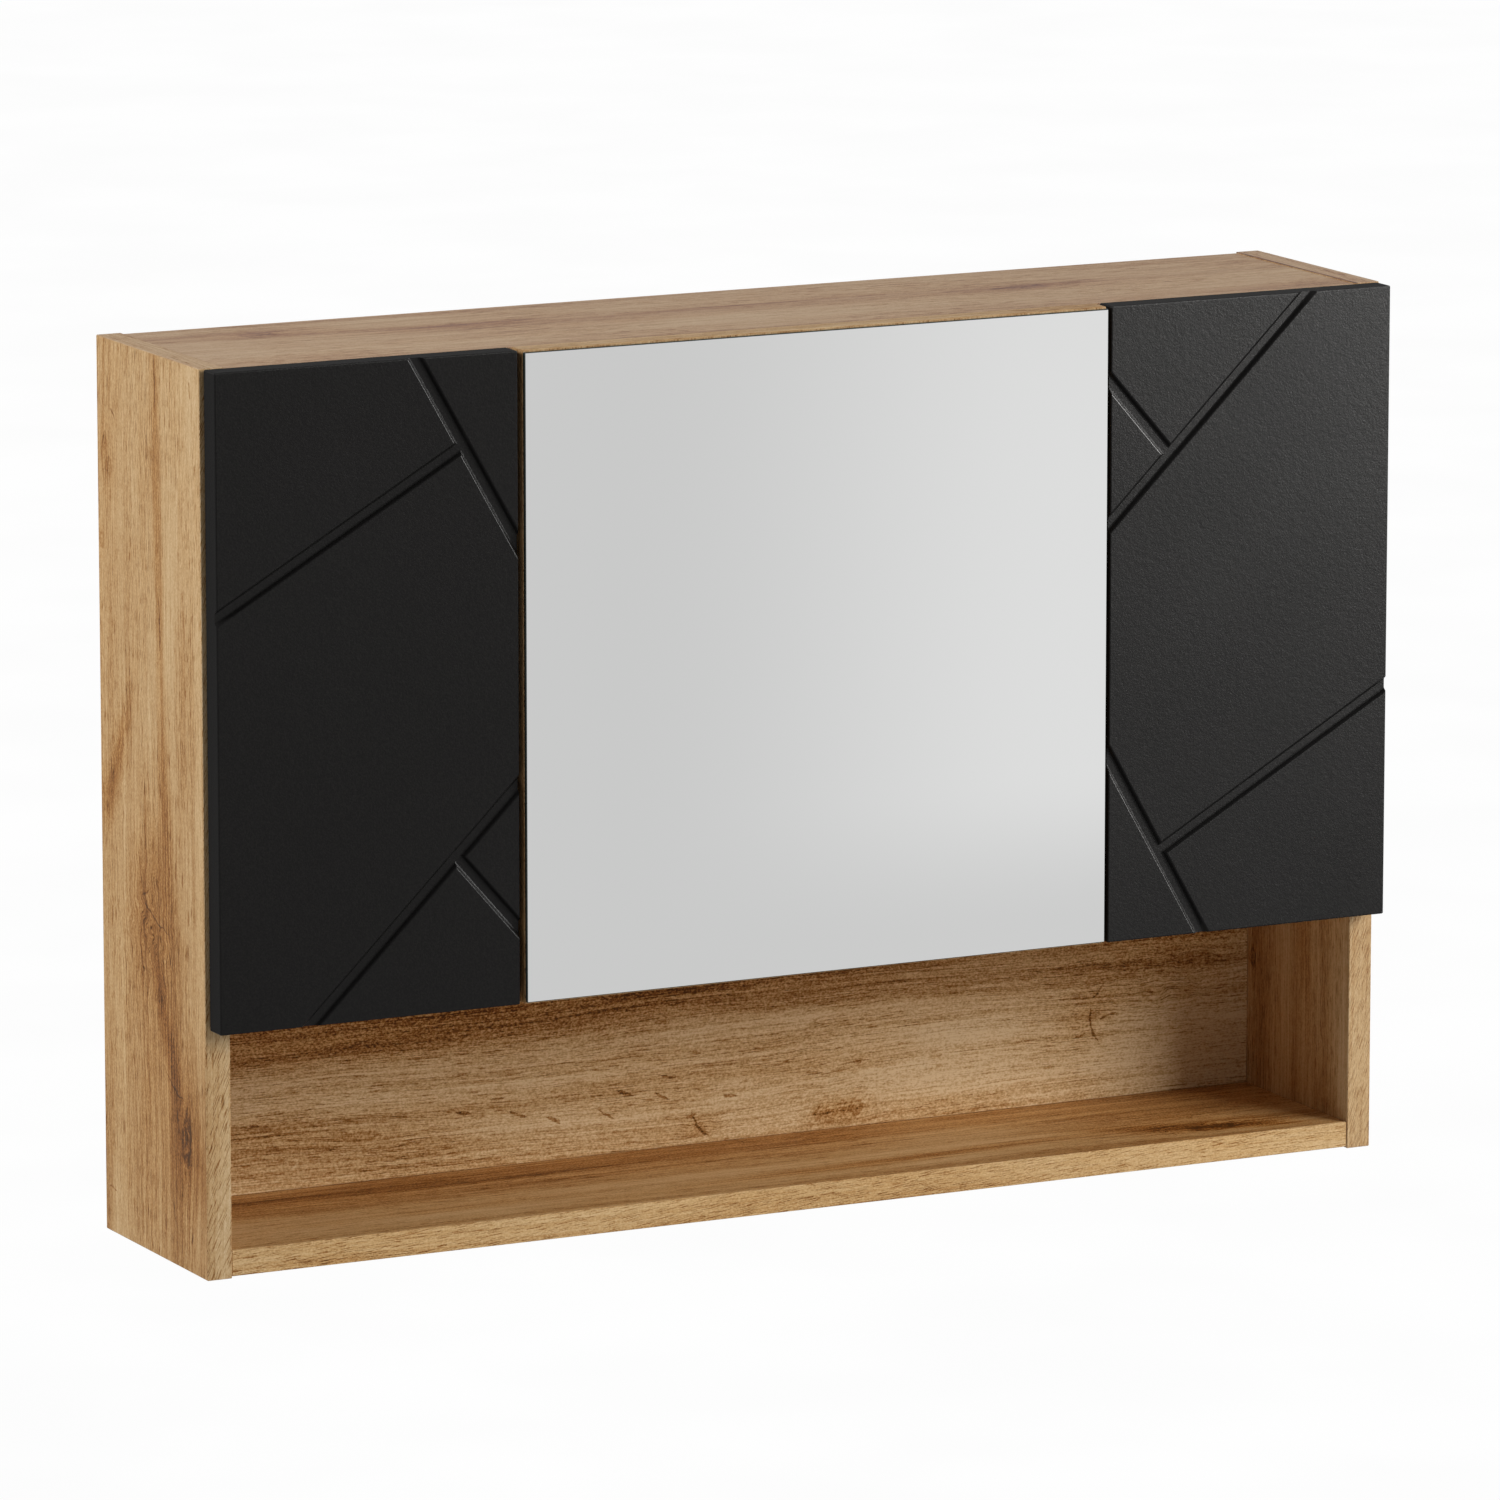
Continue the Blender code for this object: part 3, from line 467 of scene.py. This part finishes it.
oak_back = oak(
    "oak_niche_back", "X", "Z", 5.2,
    knots=((-241, 37, 9, 2.4, 0.45), (78, 19, 4, 3.4, 0.20), (103, 20, 3.5, 4.6, 0.27)),
    swirls=((325, 84, 52, 26, 0.22), (-8, 20, 18, 12, 0.2)),
    stains_and_shade=(
        # Painted shade: (330, 110), (335, 124), (-240, 108) and (0, 118) darken the top and the top right, where the
        # doors and the right side shade the back. Painted light: (50, 44) lightens the lower middle.
        (330, 110, 70, 26, 0, 0.24), (335, 124, 76, 13, 0, 0.26), (-250, 96, 130, 9, 0, 0.12), (-240, 108, 300, 24, 0, 0.33), (0, 118, 460, 18, 0, 0.25), (50, 44, 250, 40, 0, -0.13), (90, 20, 22, 8, 0, 0.24), (-8, 20, 14, 9, 0, 0.16), (266, 62, 22, 16, 20, 0.18),
        (-300, 42, 30, 10, 0, 0.10), (180, 30, 120, 6, 0, -0.06),
    ),
    cracks=(
        (-133, 39, 14, -20, 0.4, 1.4, 1.0), (-110, 34, 14, -26, -0.3, 1.3, 1.0), (-72, 33, 14, -30, 0.3, 1.1, 1.0),
        (-59, 45, 16, -16, 0.2, 1.5, 1.0), (-34, 41, 12, -26, 0.4, 1.2, 1.0), (-29, 53, 11, -14, 0.2, 1.0, 0.9),
        (14, 37, 10, -8, 0.2, 1.4, 1.0), (-170, 44, 13, -8, 0.2, 1.3, 1.0), (-147, 51, 10, 0, 0.1, 1.1, 0.9),
        (-10, 20, 21, -58, 2.2, 1.2, 1.0), (-13, 26, 9, 10, 1.0, 0.9, 0.7), (270, 56, 28, -74, 3.5, 1.1, 1.0), (276, 78, 16, 40, 1.5, 1.0, 0.8), (282, 62, 14, 15, -1.0, 1.0, 0.7),
        (262, 50, 9, 20, 0.5, 0.9, 0.7), (75, 20, 11, 68, 1.2, 1.0, 0.32), (99, 24, 13, 60, -1.4, 1.0, 0.38), (107, 26, 9, 38, 0.8, 0.9, 0.30), (102, 49, 7, -6, 0.2, 1.0, 0.8),
        (-312, 50, 8, -6, 0.2, 1.2, 0.8), (-298, 36, 7, -10, 0.2, 1.1, 0.7),
    ),
    # base and bleach lighten the whole niche back as painted light, and warm adds a little painted bounce light.
    warm_tone_and_painted_bounce=0.10, contrast=1.15, gloss=0.15, base=-0.120, rough_cut=2.35, painted_brightening=(1.16, 1.23, 1.32),
)
oak_up = oak("oak_upright", "Z", "Y", 6.6, stains_and_shade=((80, -60, 60, 9, 0, 0.12),), base=0.02)
oak_flat = oak("oak_level", "X", "Y", 7.9)
# The negative lift darkens the board's side edges: painted shade of the narrow gaps between the doors.
oak_door = oak("oak_mirror_board", "Z", "X", 8.3, painted_light=-0.16)
black = foil("black_foil")
glass = mirror("mirror_glass")
nickel = steel("nickel_steel", (0.66, 0.645, 0.61), 0.33)
zinc = steel("zinc_steel", (0.52, 0.54, 0.56), 0.38)
white = plain("white_plastic", lin(226, 226, 222), lin(214, 214, 209), 0.42)
sheet = plain("rear_sheet", lin(150, 118, 86), lin(128, 97, 68), 0.62, 500.0)
silicone = plain("clear_silicone", (0.70, 0.70, 0.67), (0.62, 0.62, 0.60), 0.25, 200.0)

for node in NODES:
    if node.startswith("hinge_pin") or node.startswith("hanger_hook"):
        wear(node, zinc)
    elif node.startswith(("hinge_", "shelf_peg")):
        wear(node, nickel)
    elif node.startswith("hanger_housing"):
        wear(node, white)
    elif node.startswith("door_buffer"):
        wear(node, silicone)
    elif node in ("door_left_panel", "door_right_panel"):
        wear(node, black)
for node, mat in {
    "side_panel_left": oak_side_l, "side_panel_right": oak_side_r, "top_panel": oak_top, "bottom_panel": oak_floor,
    "niche_back_panel": oak_back, "divider_left": oak_up, "divider_right": oak_up, "fixed_shelf": oak_flat,
    "shelf_left": oak_flat, "shelf_middle": oak_flat, "shelf_right": oak_flat, "door_mirror_board": oak_door,
    "mirror_glass": glass, "back_panel": sheet,
}.items():
    wear(node, mat)

# ---------------------------------------------------------------- small hardware
def lathe(name, profile, segments=32):
    """A solid turned about Z from (radius, height) points that start and end on the axis."""
    bm = bmesh.new()
    rings = []
    for r, h in profile:
        if r == 0:
            rings.append([bm.verts.new((0, 0, h))])
        else:
            rings.append([bm.verts.new((r * math.cos(2 * math.pi * k / segments), r * math.sin(2 * math.pi * k / segments), h)) for k in range(segments)])
    for first, second in zip(rings, rings[1:]):
        for k in range(segments):
            m = (k + 1) % segments
            loop = [first[k % len(first)], first[m % len(first)], second[m % len(second)], second[k % len(second)]]
            unique = list(dict.fromkeys(loop))
            if len(unique) > 2:
                bm.faces.new(unique)
    bmesh.ops.recalc_face_normals(bm, faces=bm.faces)
    mesh = bpy.data.meshes.new(name)
    bm.to_mesh(mesh)
    bm.free()
    return mesh


def cross(name, reach, width, top, bottom, taper=0.55):
    """A cross-shaped tool whose arms narrow towards its foot."""
    bm = bmesh.new()
    for turn in (0, 1):
        corners = []
        for z, k in ((bottom, taper), (top, 1.0)):
            for sx, sy in ((-1, -1), (1, -1), (1, 1), (-1, 1)):
                x, y = sx * reach * k, sy * width / 2
                corners.append(bm.verts.new((x, y, z) if not turn else (-y, x, z)))
        low, high = corners[:4], corners[4:]
        bm.faces.new(low[::-1])
        bm.faces.new(high)
        for k in range(4):
            m = (k + 1) % 4
            bm.faces.new((low[k], low[m], high[m], high[k]))
    bmesh.ops.recalc_face_normals(bm, faces=bm.faces)
    mesh = bpy.data.meshes.new(name)
    bm.to_mesh(mesh)
    bm.free()
    return mesh


def carved(name, body, *tools):
    """The body mesh with each tool mesh cut out of it, its flat and round parts shaded apart."""
    obj = bpy.data.objects.new(name + "_body", body)
    scene.collection.objects.link(obj)
    cutters = []
    for k, tool in enumerate(tools):
        cutter = bpy.data.objects.new(f"{name}_tool_{k}", tool)
        scene.collection.objects.link(cutter)
        cutters.append(cutter)
        step = obj.modifiers.new(f"cut_{k}", "BOOLEAN")
        step.operation, step.object, step.solver, step.use_self = "DIFFERENCE", cutter, "EXACT", True
    mesh = bpy.data.meshes.new_from_object(obj.evaluated_get(bpy.context.evaluated_depsgraph_get()))
    mesh.name = name
    for extra in (obj, *cutters):
        bpy.data.objects.remove(extra, do_unlink=True)
    mesh.shade_smooth()
    mesh.set_sharp_from_angle(angle=math.radians(32))
    return mesh


def screw(name, r, h):
    head = lathe(name + "_head", ((0, h), (0.30 * r, 0.985 * h), (0.58 * r, 0.90 * h), (0.80 * r, 0.70 * h), (0.94 * r, 0.42 * h), (r, 0.14 * h), (r, 0), (0, 0)))
    return carved(name, head, cross(name + "_bit", 0.56 * r, 0.24 * r, 1.2 * h, 0.22 * h))


pan_screw = screw("pan_screw", 0.0033, 0.0017)
fine_screw = screw("fine_screw", 0.0028, 0.0012)
cam_disc = carved(
    "cam_disc",
    lathe("cam_round", ((0, 0.0004), (0.0062, 0.0004), (0.0070, 0.0003), (0.0074, 0.0), (0.0074, -0.0002), (0, -0.0002)), 40),
    cross("cam_bit", 0.0036, 0.0016, 0.001, 0.0001, 0.8),
)


def fix(name, mat, body, parts):
    """One piece that rides on body, made of meshes at points. Each part is (mesh, point, way its Z axis turns, spin)."""
    bm = bmesh.new()
    for mesh, at, out, spin in parts:
        first = len(bm.verts)
        bm.from_mesh(mesh)
        bm.verts.ensure_lookup_table()
        turn = Vector(out).to_track_quat("Z", "Y").to_matrix().to_4x4() @ Matrix.Rotation(spin, 4, "Z")
        bmesh.ops.transform(bm, matrix=Matrix.Translation(at) @ turn, verts=bm.verts[first:])
    joined = bpy.data.meshes.new(name)
    bm.to_mesh(joined)
    bm.free()
    joined.materials.append(mat)
    obj = bpy.data.objects.new(name, joined)
    scene.collection.objects.link(obj)
    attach(obj, body)
    return obj


for door, way in (("left", 1), ("mirror", 1), ("right", -1)):
    low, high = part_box({"left": "door_left_panel", "mirror": "door_mirror_board", "right": "door_right_panel"}[door])
    start = low[0] if way > 0 else high[0]
    for k, level in enumerate(("upper", "lower")):
        tag = f"{door}_{level}"
        low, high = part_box(f"hinge_plate_{tag}")
        z = (low[2] + high[2]) / 2
        face = (low[0] if way > 0 else high[0]) + way * 0.00205
        parts = [(pan_screw, (face, -0.1230, z + sign * 0.0145), (way, 0, 0), 0.4 + k + sign * 0.9) for sign in (1, -1)]
        low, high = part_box(f"hinge_arm_{tag}")
        face = (high[0] if way > 0 else low[0]) + way * 0.00002
        parts += [(fine_screw, (face, y, z), (way, 0, 0), 0.7 * k + y * 40) for y in (-0.1400, -0.1130)]
        fix(f"hinge_screws_{tag}", nickel, "carcass", parts)
        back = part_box(f"hinge_cup_{tag}")[1][1] + 0.00002
        parts = [(fine_screw, (start + way * 0.0293, back, z + sign * 0.0213), (0, 1, 0), 0.3 + 1.3 * k + sign) for sign in (1, -1)]
        fix(f"cup_screws_{tag}", nickel, f"door_{door}", parts)

for side in ("left", "right"):
    low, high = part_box(f"hanger_housing_{side}")
    x, z = (low[0] + high[0]) / 2, (low[2] + high[2]) / 2
    parts = [(fine_screw, (x, low[1] - 0.00002, z + dz), (0, -1, 0), 0.5 + dz * 60) for dz in (0.0150, -0.0150)]
    fix(f"hanger_screws_{side}", zinc, "carcass", parts)

# Cam fittings of the boards that butt against the sides, on the faces that don't show.
for board, up in (("top_panel", -1), ("fixed_shelf", 1), ("bottom_panel", -1)):
    low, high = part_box(board)
    z = high[2] if up > 0 else low[2]
    parts = [
        (cam_disc, (x, y, z), (0, 0, up), 8.0 * x + y * 30)
        for x in (low[0] + 0.034, high[0] - 0.034) for y in (-0.036, -0.118)
    ]
    fix(f"cams_{board}", zinc, "carcass", parts)

# ---------------------------------------------------------------- studio
def emitter(name, size, at, towards, power, color=(1, 1, 1), size_y=None):
    light = bpy.data.lights.new(name, "AREA")
    light.shape = "RECTANGLE"
    light.size, light.size_y = size, size_y or size
    light.energy = power
    light.color = color
    obj = bpy.data.objects.new(name, light)
    scene.collection.objects.link(obj)
    obj.location = at
    obj.rotation_euler = (Vector(towards) - Vector(at)).to_track_quat("-Z", "Y").to_euler()
    obj.visible_camera = False
    return obj


emitter("key_right", 2.0, (2.3, -2.7, 1.7), (0, 0, 0.2), 104, (1.0, 0.992, 0.97), 1.8)
emitter("side_left", 1.3, (-3.1, 0.45, 1.9), (-0.3, -0.1, 0.35), 75, (0.98, 0.99, 1.0), 1.2)
sheen = emitter("sheen_right", 0.9, (2.0, -1.50, 0.80), (0.35, -0.17, 0.45), 188, (1.0, 0.985, 0.965), 0.9)
glint = emitter("glint_right", 0.6, (2.0, -1.50, 0.80), (-0.35, -0.17, 0.45), 62, (1.0, 0.99, 0.98), 0.6)
# The sheen is for the right door and the weaker glint for the left one, so they leave no glare on the top board.
for lamp, node in ((sheen, "door_right_panel"), (glint, "door_left_panel")):
    lamp.visible_diffuse = False
    lit = bpy.data.collections.new(lamp.name + "_on")
    lit.objects.link(NODES[node])
    lamp.light_linking.receiver_collection = lit

world = bpy.data.worlds.new("studio")
scene.world = world
world.use_nodes = True
wt = world.node_tree
wt.nodes.clear()
path = wt.nodes.new("ShaderNodeLightPath")
out = wt.nodes.new("ShaderNodeOutputWorld")
fill, gloss, seen = (wt.nodes.new("ShaderNodeBackground") for _ in range(3))
for back, rgb, strength in ((fill, (1, 1, 1, 1), 0.13), (gloss, (1, 1, 1, 1), 0.52), (seen, (1, 1, 1, 1), 1.0)):
    back.inputs[0].default_value = rgb
    back.inputs[1].default_value = strength
first, second = wt.nodes.new("ShaderNodeMixShader"), wt.nodes.new("ShaderNodeMixShader")
wt.links.new(path.outputs["Is Glossy Ray"], first.inputs[0])
wt.links.new(fill.outputs[0], first.inputs[1])
wt.links.new(gloss.outputs[0], first.inputs[2])
wt.links.new(path.outputs["Is Camera Ray"], second.inputs[0])
wt.links.new(first.outputs[0], second.inputs[1])
wt.links.new(seen.outputs[0], second.inputs[2])
wt.links.new(second.outputs[0], out.inputs[0])

bm = bmesh.new()
bmesh.ops.create_grid(bm, x_segments=1, y_segments=1, size=40.0)
floor_mesh = bpy.data.meshes.new("floor")
bm.to_mesh(floor_mesh)
bm.free()
floor = bpy.data.objects.new("floor", floor_mesh)
floor.location = (0, 0, -0.80)
scene.collection.objects.link(floor)
t = Tree("pale_floor")
where = t.split(t.add("ShaderNodeTexCoord").outputs["Object"])
diffuse = t.add("ShaderNodeBsdfDiffuse", {"Color": (0.80, 0.80, 0.80)})
paper = t.noise(t.xyz(where[0], where[1], 0.0), 3.0, 2.0)
pale = t.mix(t.range(paper, 0.3, 0.7), (0.985, 0.985, 0.985), (1.0, 1.0, 1.0))
glow = t.add("ShaderNodeEmission", {"Color": pale, "Strength": 1.0})
# Painted reflection: for glossy rays the floor glows, brighter in a band towards the right, and the mirror and the
# foils show this glow.
sweep = t.math("DIVIDE", t.math("ADD", where[0], 2.82), t.math("SUBTRACT", 5.35, where[1]))
rise = t.mul(t.range(sweep, 0.485, 0.545), t.range(where[1], -4.2, -5.0, 0.15, 1.0))
painted_light = t.math("MULTIPLY_ADD", rise, 0.160, t.range(where[1], -1.0, 1.5, 0.685, 0.50))
# Far out the painted glow fades to the room's own level, so no horizon line shows in the mirror.
far = t.math("SQRT", t.math("MULTIPLY_ADD", where[0], where[0], t.mul(where[1], where[1])))
painted_light = t.fmix(t.range(far, 7.5, 24.0), painted_light, 0.52)
painted_reflection = t.add("ShaderNodeEmission", {"Color": (1.0, 0.995, 0.99), "Strength": painted_light})
lp = t.add("ShaderNodeLightPath")
one, two = t.add("ShaderNodeMixShader"), t.add("ShaderNodeMixShader")
t.put(one.inputs[0], lp.outputs["Is Glossy Ray"])
t.tree.links.new(diffuse.outputs[0], one.inputs[1])
t.tree.links.new(painted_reflection.outputs[0], one.inputs[2])
t.put(two.inputs[0], t.mul(lp.outputs["Is Camera Ray"], 0.99))
t.tree.links.new(one.outputs[0], two.inputs[1])
t.tree.links.new(glow.outputs[0], two.inputs[2])
t.tree.links.new(two.outputs[0], t.out.inputs[0])
floor_mesh.materials.append(t.mat)
